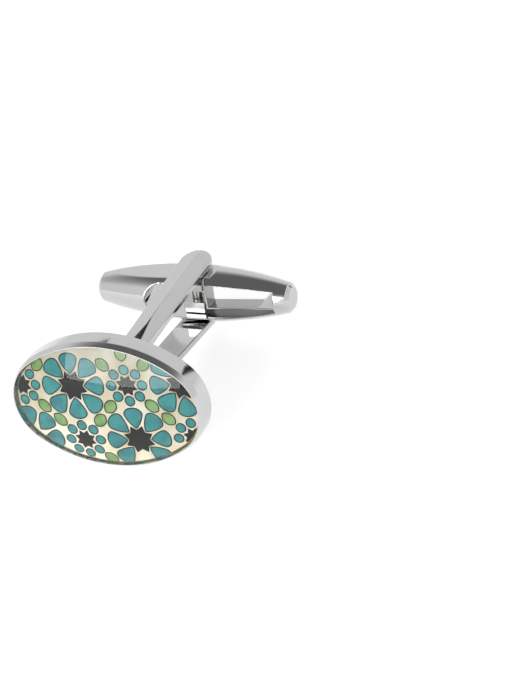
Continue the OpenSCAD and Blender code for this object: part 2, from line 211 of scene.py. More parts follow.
class ForkSizes(bpy.types.PropertyGroup):
    """Sizes of the two-armed post."""

    fork_gap: length("Gap at the pivot", "Gap between the arms at the pivot", 4.9 * MM)
    foot_gap: length("Gap at the foot", "Gap between the arms where they meet the foot", 3.1 * MM)
    arm_edge_t: length("Edge thickness", "Thickness of an arm along its edges", 0.6 * MM)
    ridge_h: length("Ridge height", "Height of the ridge down an arm", 0.26 * MM)
    arm_foot_w: length("Foot width", "Width of an arm at the foot", 2.7 * MM)
    nose_past: length("Nose centre", "How far the nose's centre lies past the pivot", 0.7 * MM)
    foot_t: length("Foot thickness", "Thickness of the foot of the fork", 1.1 * MM)
    flat_start: length("Flat start", "Distance from the lip to the start of the ridge's flat",
                       12.5 * MM)
    flat_h: length("Flat depth", "Depth of the flat on the ridge at the foot", 0.2 * MM)
    tip_flat: length("Tip flat", "Depth of the small flat at the tip of an arm", 0.1 * MM)
    edge_round: length("Edge rounding", "Width over which polishing has rounded the edges",
                       0.16 * MM)


class ToggleSizes(bpy.types.PropertyGroup):
    """Sizes of the toggle and the pieces in it."""

    bar_d: length("Diameter", "Diameter of the toggle at its middle", 5.4 * MM)
    bar_end_d: length("End diameter", "Diameter of the flat ends of the toggle", 2.1 * MM)
    bar_bevel: length("End bevel", "Width of the bevel round the ends of the toggle", 0.3 * MM)
    slot_h: length("Slot height", "Height of the slot at the pivot", 3.5 * MM)
    slot_curve_r: length("Slot curve", "Radius of the long curves of the slot", 50 * MM)
    slot_right_wall: length("Right wall", "Wall between the slot and the end of the toggle",
                            1.5 * MM)
    slot_left_wall: length("Left wall", "Distance from the slot to the other end", 4.3 * MM)
    slot_draw: length("Slot draw", "How far towards the pin the left end of the slot is drawn",
                      1.1 * MM)
    side_gap: length("Side gap", "Gap between the toggle and each arm", 0.07 * MM)
    recess_gap: length("Recess gap", "Gap round the arm end in its recess", 0.2 * MM)
    flat_extra: angle("Extra slope", "How much steeper than the arms the flats are",
                      math.radians(0.8))
    run_gap: length("Running gap", "Gap between the pin and the toggle", 0.04 * MM)
    edge_round: length("Edge rounding", "Width over which polishing has rounded the edges",
                       0.12 * MM)


class Finishes(bpy.types.PropertyGroup):
    """Colours of the materials and of the studio."""

    plating: colour("Plating", "Bright rhodium-like plating", "D2D2D3")
    steel: colour("Steel", "Turned and polished steel", "C4C4C3")
    spring_steel: colour("Spring steel", "Rolled spring strip", "B4B4B2")
    gilt: colour("Gilt plate", "Pale gilt ground of the mosaic", "DCD5C3")
    gilt_deep: colour("Deep gilt", "Ground where the gilding lies thicker", "BDB190")
    line: colour("Line", "Dark outline of the cells", "14150F")
    line_deep: colour("Deep line", "Outline where it is burnt darkest", "12130E")
    teal: colour("Teal enamel", "Teal of the petals", "3D9192")
    teal_deep: colour("Deep teal", "Teal where the enamel is thicker", "2C7279")
    green: colour("Green enamel", "Green of the leaves", "88A96C")
    green_deep: colour("Deep green", "Green where the enamel is thicker", "5E8A4C")
    black: colour("Black enamel", "Black of the stars", "0C0D10")
    black_deep: colour("Deep black", "Black where the enamel is thicker", "0A0B0E")
    # The cement's amber and olive are a painted reflection of the cup's inner wall seen through the
    # edge of the dome
    cement: colour("Cement", "Amber cement round the dome", "9A7B2A")
    cement_deep: colour("Deep cement", "Cement where it lies deep", "4E4416")
    card: colour("Card", "Packing card behind the plate", "3A3835")
    glass: colour("Glass", "Tint of the light that comes through the dome", "F9FAFA")
    floor: colour("Floor", "Pale studio floor", "F2F2F2")
    black_card: colour("Black card", "Cards that the metal mirrors as dark streaks", "191919")


class CameraSettings(bpy.types.PropertyGroup):
    """Place, aim and lens of the camera."""

    azimuth: angle("Azimuth", "Direction of the camera round the cufflink", math.radians(27.79))
    elevation: angle("Elevation", "Height of the camera as an angle", math.radians(35.08))
    roll: angle("Roll", "Turn of the camera about its own line of sight", math.radians(-12.88))
    distance: length("Distance", "Distance from the camera to the aim", 300 * MM)
    lens: length("Focal length", "Focal length of the camera", 176 * MM)
    aim: FloatVectorProperty(name="Aim", description="Point that the camera looks at", size=3,
                             default=(12.22 * MM, -3.47 * MM, 8.6 * MM), subtype="XYZ",
                             unit="LENGTH", precision=5)


def rounded(corners):
    """Polyline through corners, each (x, y, radius), with an arc of that radius in place of it."""
    points = []
    for i, (x, y, radius) in enumerate(corners):
        here = np.array([x, y])
        if radius <= 0 or i in (0, len(corners) - 1):
            points.append(here)
            continue
        back = np.array(corners[i - 1][:2]) - here
        ahead = np.array(corners[i + 1][:2]) - here
        back_len, ahead_len = np.linalg.norm(back), np.linalg.norm(ahead)
        back, ahead = back / back_len, ahead / ahead_len
        half = math.acos(np.clip(back @ ahead, -1, 1)) / 2
        reach = min(radius / math.tan(half), ARC_SHARE * back_len, ARC_SHARE * ahead_len)
        radius = reach * math.tan(half)
        centre = here + (back + ahead) / np.linalg.norm(back + ahead) * radius / math.sin(half)
        start, end = here + back * reach - centre, here + ahead * reach - centre
        turn = math.acos(np.clip(start @ end / radius ** 2, -1, 1))
        for k in range(CORNER_STEPS + 1):
            share = k / CORNER_STEPS
            points.append(centre + (math.sin((1 - share) * turn) * start
                                    + math.sin(share * turn) * end) / math.sin(turn))
    return np.array(points)


class Oval:
    """Four-centre oval inside the lip of the cup, which can be drawn wider or narrower all round."""

    # Points on each of its four arcs
    ARC_STEPS = 64

    def __init__(self, sizes):
        self.a = DOME[1][0] + sizes.set_gap
        self.b = DOME[1][1] + sizes.set_gap
        self.end_r = sizes.end_r
        self.end_x = self.a - self.end_r
        self.side_r = (self.end_x ** 2 + self.b ** 2 - self.end_r ** 2) / (2 * (self.b - self.end_r))
        self.side_y = self.side_r - self.b
        half = math.atan2(self.end_x, self.side_y)
        arcs = [(self.end_x, 0, self.end_r, half - math.pi / 2, math.pi / 2 - half),
                (0, -self.side_y, self.side_r, math.pi / 2 - half, math.pi / 2 + half),
                (-self.end_x, 0, self.end_r, math.pi / 2 + half, 1.5 * math.pi - half),
                (0, self.side_y, self.side_r, 1.5 * math.pi - half, 1.5 * math.pi + half)]
        self.points, self.ways = [], []
        for x, y, radius, start, end in arcs:
            turns = np.linspace(start, end, self.ARC_STEPS, endpoint=False)
            way = np.stack([np.cos(turns), np.sin(turns)], 1)
            self.points.append(np.array([x, y]) + radius * way)
            self.ways.append(way)
        self.points, self.ways = np.concatenate(self.points), np.concatenate(self.ways)

    def ring(self, out):
        """Points of the oval that stands out from the lip's inner edge by out."""
        return self.points + out * self.ways


def clip(loop, border):
    """Part of a closed loop that lies inside a convex border that runs anticlockwise."""
    for i in range(len(border)):
        start, edge = border[i], border[(i + 1) % len(border)] - border[i]
        kept = []
        for k in range(len(loop)):
            here, after = loop[k], loop[(k + 1) % len(loop)]
            side = edge[0] * (here[1] - start[1]) - edge[1] * (here[0] - start[0])
            side_after = edge[0] * (after[1] - start[1]) - edge[1] * (after[0] - start[0])
            if side >= 0:
                kept.append(here)
            if side * side_after < 0:
                kept.append(here + (after - here) * side / (side - side_after))
        loop = kept
        if len(loop) < 3:
            return None
    return np.array(loop)


def curve_through(points):
    """Smooth closed curve through points, by Catmull and Rom's rule."""
    points = np.array(points)
    before, after = np.roll(points, 1, 0), np.roll(points, -1, 0)
    beyond = np.roll(points, -2, 0)
    curve = []
    for k in range(CURVE_STEPS):
        t = k / CURVE_STEPS
        curve.append(0.5 * (2 * points + (after - before) * t
                            + (2 * before - 5 * points + 4 * after - beyond) * t ** 2
                            + (3 * points - before - 3 * after + beyond) * t ** 3))
    return np.stack(curve, 1).reshape(-1, 2)


def tidy_loop(loop, least):
    """Loop without points that lie closer than least to the one before them."""
    kept = [loop[0]]
    for point in loop[1:]:
        if np.linalg.norm(point - kept[-1]) > least:
            kept.append(point)
    while len(kept) > 3 and np.linalg.norm(kept[0] - kept[-1]) <= least:
        kept.pop()
    return np.array(kept)


def inset(loop, distance):
    """Loop moved inwards by distance. It runs anticlockwise."""
    edges = np.roll(loop, -1, 0) - loop
    edges /= np.linalg.norm(edges, axis=1)[:, None]
    inward = np.stack([-edges[:, 1], edges[:, 0]], 1)
    sums = inward + np.roll(inward, 1, 0)
    reach = np.maximum((sums ** 2).sum(1), SHARPEST)
    return loop + 2 * distance * sums / reach[:, None]


class Solid:
    """Points and faces of a mesh as it is put together, measured from the lip of the cup.

    A mark is the number of a face's material.
    """

    def __init__(self):
        self.points, self.faces, self.marks = [], [], []

    def ring(self, outline, level):
        """Adds a closed ring of points at one level and returns their numbers."""
        first = len(self.points)
        self.points += [(x, y, level) for x, y in outline]
        return list(range(first, len(self.points)))

    def wall(self, ring, above, mark=0):
        """Joins a ring to the next one, which has as many points."""
        count = len(ring)
        for i in range(count):
            k = (i + 1) % count
            self.faces.append((ring[i], ring[k], above[k], above[i]))
            self.marks.append(mark)

    def cap(self, ring, up):
        """Closes a ring with one face that looks up or down."""
        self.faces.append(tuple(ring if up else reversed(ring)))
        self.marks.append(0)

    def build(self, name, materials):
        """Object with this mesh in the frame."""
        mesh = bpy.data.meshes.new(name)
        mesh.from_pydata([tuple(p) for p in place(self.points)], [], self.faces)
        mesh.polygons.foreach_set("material_index", self.marks)
        for material in materials:
            mesh.materials.append(material)
        mesh.validate()
        mesh.shade_smooth()
        mesh.set_sharp_from_angle(angle=SMOOTH_TURN)
        return put(name, mesh)


def dress(piece, body, slot, *nodes):
    """Fastens a piece to its body and hides the CAD nodes that it stands for; the slot is not used."""
    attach(piece, body)
    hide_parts(*nodes)


def smooth_max(first, *others, width):
    """Greatest of some distances, with the edge between them rounded over width."""
    for other in others:
        near = np.maximum(width - np.abs(first - other), 0) / width
        first = np.maximum(first, other) + near ** 2 * width / 4
    return first


def slope_of(field, points, step):
    """Gradient of a distance field at points."""
    slopes = []
    for axis in np.eye(3):
        slopes.append((field(points + step * axis) - field(points - step * axis)) / (2 * step))
    return np.stack(slopes, 1)


def polished(name, node, field, voxel, material, draw=None):
    """Evenly meshed copy of a CAD node, pulled onto a distance field with rounded edges.

    Where the field departs far from the node, draw first moves the points close to it.
    """
    source = put(name + "_source", frame["nodes"][node].data.copy())
    remesh = source.modifiers.new("Even mesh", "REMESH")
    remesh.mode = "VOXEL"
    remesh.voxel_size = voxel
    graph = bpy.context.evaluated_depsgraph_get()
    mesh = bpy.data.meshes.new_from_object(source.evaluated_get(graph))
    bpy.data.objects.remove(source)
    points = np.empty(len(mesh.vertices) * 3)
    mesh.vertices.foreach_get("co", points)
    points = (points.reshape(-1, 3) - LIP) @ AXES.T
    if draw:
        points = draw(points)
    step = voxel * SLOPE_STEP
    for _ in range(PULLS):
        slope = slope_of(field, points, step)
        steep = np.maximum((slope ** 2).sum(1), FLATTEST)
        points = points - (field(points) / steep)[:, None] * slope
    normals = slope_of(field, points, step)
    normals /= np.linalg.norm(normals, axis=1)[:, None]
    mesh.vertices.foreach_set("co", place(points).ravel())
    mesh.update()
    mesh.materials.clear()
    mesh.materials.append(material)
    mesh.shade_smooth()
    mesh.normals_split_custom_set_from_vertices((normals @ AXES).tolist())
    mesh.name = name
    return put(name, mesh)


def eased(name, node, width, material):
    """Copy of a CAD node with its edges eased, as tumbling leaves them."""
    mesh = frame["nodes"][node].data.copy()
    mesh.shade_smooth()
    piece = put(name, mesh)
    piece.matrix_world = frame["nodes"][node].matrix_world
    weld = piece.modifiers.new("Weld", "WELD")
    weld.merge_threshold = width * WELD_SHARE
    bevel = piece.modifiers.new("Eased edges", "BEVEL")
    bevel.width = width
    bevel.segments = EASED_STEPS
    bevel.limit_method = "ANGLE"
    bevel.angle_limit = SMOOTH_TURN
    piece.modifiers.new("Flat faces", "WEIGHTED_NORMAL")
    graph = bpy.context.evaluated_depsgraph_get()
    piece.data = bpy.data.meshes.new_from_object(piece.evaluated_get(graph))
    piece.modifiers.clear()
    bpy.data.meshes.remove(mesh)
    piece.data.name = name
    piece.data.materials.clear()
    piece.data.materials.append(material)
    return piece


def new_material(name):
    """Node material with an empty tree."""
    if name in bpy.data.materials:
        raise RuntimeError("there is already a material called " + name)
    made = bpy.data.materials.new(name)
    made.use_nodes = True
    made.node_tree.nodes.clear()
    return made


def add(tree, kind, inputs, **settings):
    """Adds a shader node with its settings, and gives its inputs values or links."""
    made = tree.nodes.new("ShaderNode" + kind)
    for name, value in settings.items():
        setattr(made, name, value)
    for key, value in inputs.items():
        if isinstance(value, bpy.types.NodeSocket):
            tree.links.new(value, made.inputs[key])
        else:
            made.inputs[key].default_value = value
    return made


def opaque(value):
    """Colour property as red, green, blue and alpha."""
    return (*value, 1.0)


def per_size(metres):
    """Scale at which a pattern repeats about once in the given size."""
    return 1 / metres


def clouded(tree, where, base, deep, size, detail, low, high):
    """Colour that drifts from base to deep in clouds of the given size, and those clouds."""
    cloud = add(tree, "TexNoise", {"Vector": where, "Scale": per_size(size), "Detail": detail})
    fade = add(tree, "MapRange", {"Value": cloud.outputs["Fac"], "From Min": low,
                                  "From Max": high})
    tint = add(tree, "Mix", {"Factor": fade.outputs["Result"], "A": opaque(base),
                             "B": opaque(deep)}, data_type="RGBA")
    return tint.outputs[2], cloud.outputs["Fac"]


def polished_metal(name, base, roughness, smear, grit, lift):
    """Polished metal with a faint haze, and polishing marks drawn coarse enough to show.

    Its roughness grows by smear where it is hazy, and the marks are grit wide and lift high.
    """
    tree = new_material(name).node_tree
    where = add(tree, "TexCoord", {}).outputs["Object"]
    cloud = add(tree, "TexNoise", {"Vector": where, "Scale": per_size(2.5 * MM), "Detail": 3.0})
    marks = add(tree, "TexNoise", {"Vector": where, "Scale": per_size(grit), "Detail": 4.0,
                                   "Roughness": 0.65})
    haze = add(tree, "MapRange", {"Value": cloud.outputs["Fac"], "From Min": 0.3, "From Max": 0.75,
                                  "To Min": roughness, "To Max": roughness + smear})
    dark = [share * TARNISH for share in base]
    tint = add(tree, "Mix", {"Factor": cloud.outputs["Fac"], "A": opaque(base), "B": opaque(dark)},
               data_type="RGBA")
    bump = add(tree, "Bump", {"Height": marks.outputs["Fac"], "Strength": 0.25, "Distance": lift})
    metal = add(tree, "BsdfPrincipled", {"Base Color": tint.outputs[2], "Metallic": 1.0,
                                         "Roughness": haze.outputs["Result"],
                                         "Normal": bump.outputs["Normal"]})
    add(tree, "OutputMaterial", {"Surface": metal.outputs["BSDF"]})


def gilt_ground(name, base, deep):
    """Satin gilding, with a grain drawn coarse enough to show."""
    tree = new_material(name).node_tree
    where = add(tree, "TexCoord", {}).outputs["Object"]
    tint, _ = clouded(tree, where, base, deep, size=3 * MM, detail=3.0, low=0.35, high=0.7)
    grain = add(tree, "TexNoise", {"Vector": where, "Scale": per_size(0.09 * MM), "Detail": 2.0})
    dull = add(tree, "MapRange", {"Value": grain.outputs["Fac"], "To Min": 0.3, "To Max": 0.5})
    bump = add(tree, "Bump", {"Height": grain.outputs["Fac"], "Strength": 0.4,
                              "Distance": 0.006 * MM})
    metal = add(tree, "BsdfPrincipled", {"Base Color": tint, "Metallic": 0.6,
                                         "Roughness": dull.outputs["Result"],
                                         "Normal": bump.outputs["Normal"]})
    add(tree, "OutputMaterial", {"Surface": metal.outputs["BSDF"]})


def fired_enamel(name, base, deep):
    """Enamel with clouds in its colour and a gentle wave in its face."""
    tree = new_material(name).node_tree
    where = add(tree, "TexCoord", {}).outputs["Object"]
    tint, cloud = clouded(tree, where, base, deep, size=1.2 * MM, detail=4.0, low=0.42,
                          high=0.72)
    specks = add(tree, "TexNoise", {"Vector": where, "Scale": per_size(0.15 * MM), "Detail": 2.0})
    gloss = add(tree, "MapRange", {"Value": specks.outputs["Fac"], "To Min": 0.18,
                                   "To Max": 0.34})
    bump = add(tree, "Bump", {"Height": cloud, "Strength": 0.3, "Distance": 0.02 * MM})
    glaze = add(tree, "BsdfPrincipled", {"Base Color": tint, "Specular IOR Level": 0.05,
                                         "Roughness": gloss.outputs["Result"],
                                         "Normal": bump.outputs["Normal"]})
    add(tree, "OutputMaterial", {"Surface": glaze.outputs["BSDF"]})


def cement_with_painted_reflection(name, base, deep, painted_cup_colour):
    """Cement with a painted reflection of the cup's inner wall: amber and olive at the top and right
    of the oval, and painted like the plated cup at the left.
    """
    tree = new_material(name).node_tree
    where = add(tree, "TexCoord", {}).outputs["Object"]
    tint, _ = clouded(tree, where, base, deep, size=2.2 * MM, detail=3.0, low=0.38, high=0.62)
    ripple = add(tree, "TexNoise", {"Vector": where, "Scale": per_size(0.5 * MM)})
    # Painted reflection: amber and olive grow towards the top and right, and the left is painted like
    # the plated cup
    side = add(tree, "VectorMath", {0: where, 1: REFLECTION_WAY}, operation="DOT_PRODUCT")
    painted_cup_share = add(tree, "MapRange", {"Value": side.outputs["Value"], "From Min": REFLECTION_START,
                                  "From Max": REFLECTION_FULL, "To Min": 1.0, "To Max": 0.0})
    shown = add(tree, "Mix", {"Factor": painted_cup_share.outputs["Result"], "A": tint, "B": opaque(painted_cup_colour)},
                data_type="RGBA")
    bump = add(tree, "Bump", {"Height": ripple.outputs["Fac"], "Strength": 0.5,
                              "Distance": 0.03 * MM})
    resin = add(tree, "BsdfPrincipled", {"Base Color": shown.outputs[2], "IOR": 1.5,
                                         "Metallic": painted_cup_share.outputs["Result"],
                                         "Roughness": 0.2, "Normal": bump.outputs["Normal"]})
    add(tree, "OutputMaterial", {"Surface": resin.outputs["BSDF"]})


def crystal(name, tint):
    """Clear glass with a trace of smear, which lets the lamps shine through."""
    tree = new_material(name).node_tree
    where = add(tree, "TexCoord", {}).outputs["Object"]
    smear = add(tree, "TexNoise", {"Vector": where, "Scale": per_size(3 * MM), "Detail": 4.0})
    haze = add(tree, "MapRange", {"Value": smear.outputs["Fac"], "From Min": 0.35, "From Max": 0.8,
                                  "To Min": 0.0, "To Max": 0.03})
    glass = add(tree, "BsdfPrincipled", {"Base Color": WHITE, "IOR": 1.5,
                                         "Transmission Weight": 1.0,
                                         "Roughness": haze.outputs["Result"]})
    clear = add(tree, "BsdfTransparent", {"Color": opaque(tint)})
    path = add(tree, "LightPath", {})
    mixed = add(tree, "MixShader", {0: path.outputs["Is Shadow Ray"], 1: glass.outputs["BSDF"],
                                    2: clear.outputs["BSDF"]})
    add(tree, "OutputMaterial", {"Surface": mixed.outputs["Shader"]})


def pressed_card(name, base):
    """Card of short fibres, some paler than others."""
    tree = new_material(name).node_tree
    where = add(tree, "TexCoord", {}).outputs["Object"]
    fibres = add(tree, "TexNoise", {"Vector": where, "Scale": per_size(0.2 * MM), "Detail": 5.0})
    pale = [share * PALE_FIBRE for share in base]
    tint = add(tree, "Mix", {"Factor": fibres.outputs["Fac"], "A": opaque(base),
                             "B": opaque(pale)}, data_type="RGBA")
    bump = add(tree, "Bump", {"Height": fibres.outputs["Fac"], "Distance": 0.02 * MM})
    card = add(tree, "BsdfPrincipled", {"Base Color": tint.outputs[2], "Roughness": 0.85,
                                        "Normal": bump.outputs["Normal"]})
    add(tree, "OutputMaterial", {"Surface": card.outputs["BSDF"]})


def make_materials(looks):
    """Makes all materials of the cufflink."""
    # Brass castings polished on a buff and plated with rhodium: a bright grey mirror with a soft haze
    polished_metal("rhodium_plated_brass", looks.plating, roughness=0.07, smear=0.06,
                   grit=0.12 * MM, lift=0.0012 * MM)
    # Turned steel, polished on the lathe: a little greyer than the plating and less even
    polished_metal("polished_steel", looks.steel, roughness=0.12, smear=0.1,
                   grit=0.08 * MM, lift=0.002 * MM)
    # Cold-rolled spring strip: grey, with the dull shine that the rolls leave
    polished_metal("rolled_spring_steel", looks.spring_steel, roughness=0.16, smear=0.1,
                   grit=0.05 * MM, lift=0.003 * MM)
    # Brass plate, satin ground and pale gilt: a warm cream metal that glows evenly
    gilt_ground("satin_gilt_brass", looks.gilt, looks.gilt_deep)
    # Fired enamel stoned flat under the cemented dome, which takes its gloss: even, with clouds
    # where the colour lies thicker
    fired_enamel("fired_teal_enamel", looks.teal, looks.teal_deep)
    fired_enamel("fired_green_enamel", looks.green, looks.green_deep)
    fired_enamel("fired_black_enamel", looks.black, looks.black_deep)
    # Enamel burnt against the wall of its pocket: a thin dark line round each cell
    fired_enamel("blackened_pocket_wall", looks.line, looks.line_deep)
    # Clear jeweller's cement, cured in place, with a painted reflection of the cup's inner wall: amber
    # and olive towards the top and right, and painted like the bright plated cup at the left
    cement_with_painted_reflection("cement_painted_cup_reflection", looks.cement, looks.cement_deep, looks.plating)
    # Crystal glass, ground and fire polished: clear, with a mirror-smooth face
    crystal("polished_crystal", looks.glass)
    # Pressed card: dull grey fibres
    pressed_card("pressed_card", looks.card)


def material(name):
    """Material of the cufflink with that name, made on first use."""
    if name not in bpy.data.materials:
        make_materials(bpy.context.scene.cufflink_finishes)
    return bpy.data.materials[name]


class CUFFLINK_OT_cup(bpy.types.Operator):
    """Turns the section of the plated cup round the oval."""

    bl_idname = "cufflink.cup"
    bl_label = "Cup"

    def execute(self, context):
        sizes = context.scene.cufflink_head
        oval = Oval(sizes)
        out = CUP[1][0] - oval.a
        back = CUP[0][2] - POST_LEN
        floor = back + sizes.floor_t
        soft = sizes.lip_round
        section = rounded([
            (0, floor, 0), (0, 0, soft), (sizes.lip_w, 0, soft),
            (out, -sizes.bevel_h, sizes.wall_round),
            (out, back + sizes.back_bevel, sizes.heel_round),
            (out - sizes.back_bevel, back, sizes.back_round),
            (out - 2 * sizes.back_bevel, back, 0)])
        cup = Solid()
        rings = [cup.ring(oval.ring(x), z) for x, z in section]
        for ring, after in zip(rings, rings[1:]):
            cup.wall(after, ring)
        cup.cap(rings[0], True)
        cup.cap(rings[-1], False)
        piece = cup.build("bezel_cup_polished", [material("rhodium_plated_brass")])
        dress(piece, "head", "plated_brass", "bezel_cup")
        return {"FINISHED"}


class CUFFLINK_OT_dome(bpy.types.Operator):
    """Grinds the clear dome and lays the bead of cement under its bevel."""

    bl_idname = "cufflink.dome"
    bl_label = "Dome"

    # Rings from the crown to the rim
    RINGS = 56
    # Sunk into the plate by this much, so that the glass meets the mosaic with no air between
    BEDDING = 0.01 * MM

    def execute(self, context):
        sizes = context.scene.cufflink_head
        oval = Oval(sizes)
        crown = DOME[1][2] - POST_LEN
        foot = DOME[0][2] - POST_LEN
        rise = sizes.dome_rise
        len_r = (oval.a ** 2 + rise ** 2) / (2 * rise)
        wid_r = (oval.b ** 2 + rise ** 2) / (2 * rise)
        rim = oval.ring(-sizes.set_gap)

        def level(outline):
            """Height of the dome's face over the points of an outline."""
            radius = wid_r - len_r + np.sqrt(len_r ** 2 - outline[:, 0] ** 2)
            return crown - wid_r + np.sqrt(radius ** 2 - outline[:, 1] ** 2)

        dome = Solid()
        rings = []
        for k in range(self.RINGS):
            outline = rim * math.sin(math.pi / 2 * (k + 1) / self.RINGS)
            first = len(dome.points)
            dome.points += [(x, y, z) for (x, y), z in zip(outline, level(outline))]
            rings.append(list(range(first, len(dome.points))))
        rings.append(dome.ring(rim, foot + sizes.dome_bevel))
        rings.append(dome.ring(oval.ring(-sizes.set_gap - sizes.dome_bevel), foot - self.BEDDING))
        for ring, after in zip(rings, rings[1:]):
            dome.wall(after, ring)
        dome.points.append((0, 0, crown))
        top = len(dome.points) - 1
        for i in range(len(rim)):
            dome.faces.append((rings[0][i], rings[0][(i + 1) % len(rim)], top))
            dome.marks.append(0)
        dome.cap(rings[-1], False)
        piece = dome.build("clear_dome_polished", [material("polished_crystal")])
        dress(piece, "head", "dome_glass", "clear_dome")

        bevel = sizes.dome_bevel
        section = rounded([
            (-sizes.set_gap, foot, 0), (-sizes.set_gap, foot + bevel, 0),
            (-sizes.set_gap - bevel + self.BEDDING, foot + self.BEDDING, 0),
            (-sizes.set_gap - bevel, foot, 0)])
        bead = Solid()
        rings = [bead.ring(oval.ring(x), z) for x, z in section]
        for ring, after in zip(rings, rings[1:] + rings[:1]):
            bead.wall(ring, after)
        # The bead's colour is a painted reflection of the cup's inner wall
        piece = bead.build("dome_adhesive_bead", [material("cement_painted_cup_reflection")])
        dress(piece, "head", "amber_cement", "dome_adhesive")
        return {"FINISHED"}


# Kinds of cells in the mosaic, and the frame's slot for the enamel of each
CELL_SLOTS = {"large_stars": "black_enamel", "small_stars": "black_enamel",
              "large_petals": "teal_enamel", "small_petals": "teal_enamel",
              "leaf_cells": "green_enamel"}


class Mosaic:
    """Outlines of all the cells of the mosaic, cut off at the plain border of the plate."""

    COLUMNS = (-1, 0, 1, 2)
    ROWS = (0, 1)
    # Points of a star, with a petal between each two, and the angle from one to the next
    RAYS = 8
    RAY_TURN = 2 * math.pi / RAYS
    # Half outlines of the cells as shares of their length and width, from the inner end outwards
    PETAL_SHARES = ((0, 0.04), (0.22, 0.28), (0.5, 0.47), (0.74, 0.55), (0.92, 0.4), (1, 0.14))
    BUD_SHARES = ((0, 0.18), (0.2, 0.42), (0.5, 0.5), (0.8, 0.4), (1, 0.16))
    LEAF_SHARES = ((0, 0.1), (0.2, 0.4), (0.5, 0.5), (0.8, 0.4), (1, 0.1))
    LEAST_STEP = 0.012 * MM
    # The border that cuts the cells has one in so many of the oval's points
    BORDER_STRIDE = 4
    # Share of a leaf's width by which the middle of a cell has to clear the border
    CLEAR_SHARE = 0.25

    def __init__(self, sizes, oval):
        self.sizes = sizes
        self.oval = oval
        self.room = sizes.leaf_w * self.CLEAR_SHARE
        self.cells = {kind: [] for kind in CELL_SLOTS}
        # A petal that points straight at a small rosette stops short of it, most along the rows
        trim = max(0, sizes.petal_out + sizes.bud_petal_out + sizes.border_w - sizes.pitch)
        for column in self.COLUMNS:
            for row in self.ROWS:
                step = sizes.pitch * (column * self.way(0) - row * self.way(math.pi / 2))
                centre = np.array([sizes.first_x, sizes.first_y]) + step
                if (column + row) % 2 == 0:
                    self.star("large_stars", centre, sizes.star_r, sizes.star_notch_r)
                    for k in range(self.RAYS):
                        far = sizes.petal_out - (trim if k % 4 == 0 else 0)
                        far -= 2 * sizes.spread if k % 2 == 0 else 0
                        self.spoke("large_petals", centre, k * self.RAY_TURN, sizes.petal_in, far,
                                   sizes.petal_w, self.PETAL_SHARES)
                else:
                    self.small_rosette(centre)

    def small_rosette(self, centre):
        """Small star with its petals, and leaves on the diagonals and straight up or down."""
        sizes = self.sizes
        half = sizes.leaf_len / 2
        self.star("small_stars", centre, sizes.bud_r, sizes.bud_notch_r)
        for k in range(self.RAYS):
            self.spoke("small_petals", centre, k * self.RAY_TURN, sizes.bud_petal_in,
                       sizes.bud_petal_out, sizes.bud_petal_w, self.BUD_SHARES)
        leaves = [(math.pi / 4 + k * math.pi / 2, sizes.leaf_mid) for k in range(4)]
        leaves.append((math.copysign(math.pi / 2, centre[1]), sizes.end_leaf_mid))
        for turn, middle in leaves:
            self.spoke("leaf_cells", centre, turn, middle - half, middle + half, sizes.leaf_w,
                       self.LEAF_SHARES)

    def way(self, turn):
        """Direction at an angle from the rows of the pattern."""
        turn += self.sizes.turn
        return np.array([math.cos(turn), math.sin(turn)])

    def inside(self, point, room):
        """Whether a point lies inside the border with the given room to spare."""
        reach = np.array([self.oval.a, self.oval.b]) - self.sizes.border_w - room
        return ((point / reach) ** 2).sum() < 1

    def star(self, kind, centre, tip, notch):
        """Adds a star with straight edges."""
        if self.inside(centre, -self.room):
            points = []
            for k in range(2 * self.RAYS):
                radius = tip if k % 2 else notch
                points.append(centre + radius * self.way(k * self.RAY_TURN / 2))
            self.cells[kind].append(np.array(points))

    def spoke(self, kind, centre, turn, near, far, width, shares):
        """Adds a petal or leaf that points away from the middle of a rosette."""
        way = self.way(turn)
        across = np.array([-way[1], way[0]])
        if self.inside(centre + way * (near + far) / 2, self.room):
            half = [(near + s * (far - near), b * width) for s, b in shares]
            outline = [(x, -y) for x, y in half] + half[::-1]
            points = [centre + x * way + y * across for x, y in outline]
            self.cells[kind].append(curve_through(points))

    def loops(self, kind, grow):
        """Outlines of one kind of cell, drawn wider all round by grow."""
        border = self.oval.ring(grow - self.sizes.border_w)[::self.BORDER_STRIDE]
        spread = 0 if kind == "small_petals" else self.sizes.spread
        found = []
        for loop in self.cells[kind]:
            cut = clip(inset(loop, -grow - spread), border)
            if cut is not None:
                found.append(tidy_loop(cut, self.LEAST_STEP))
        return found


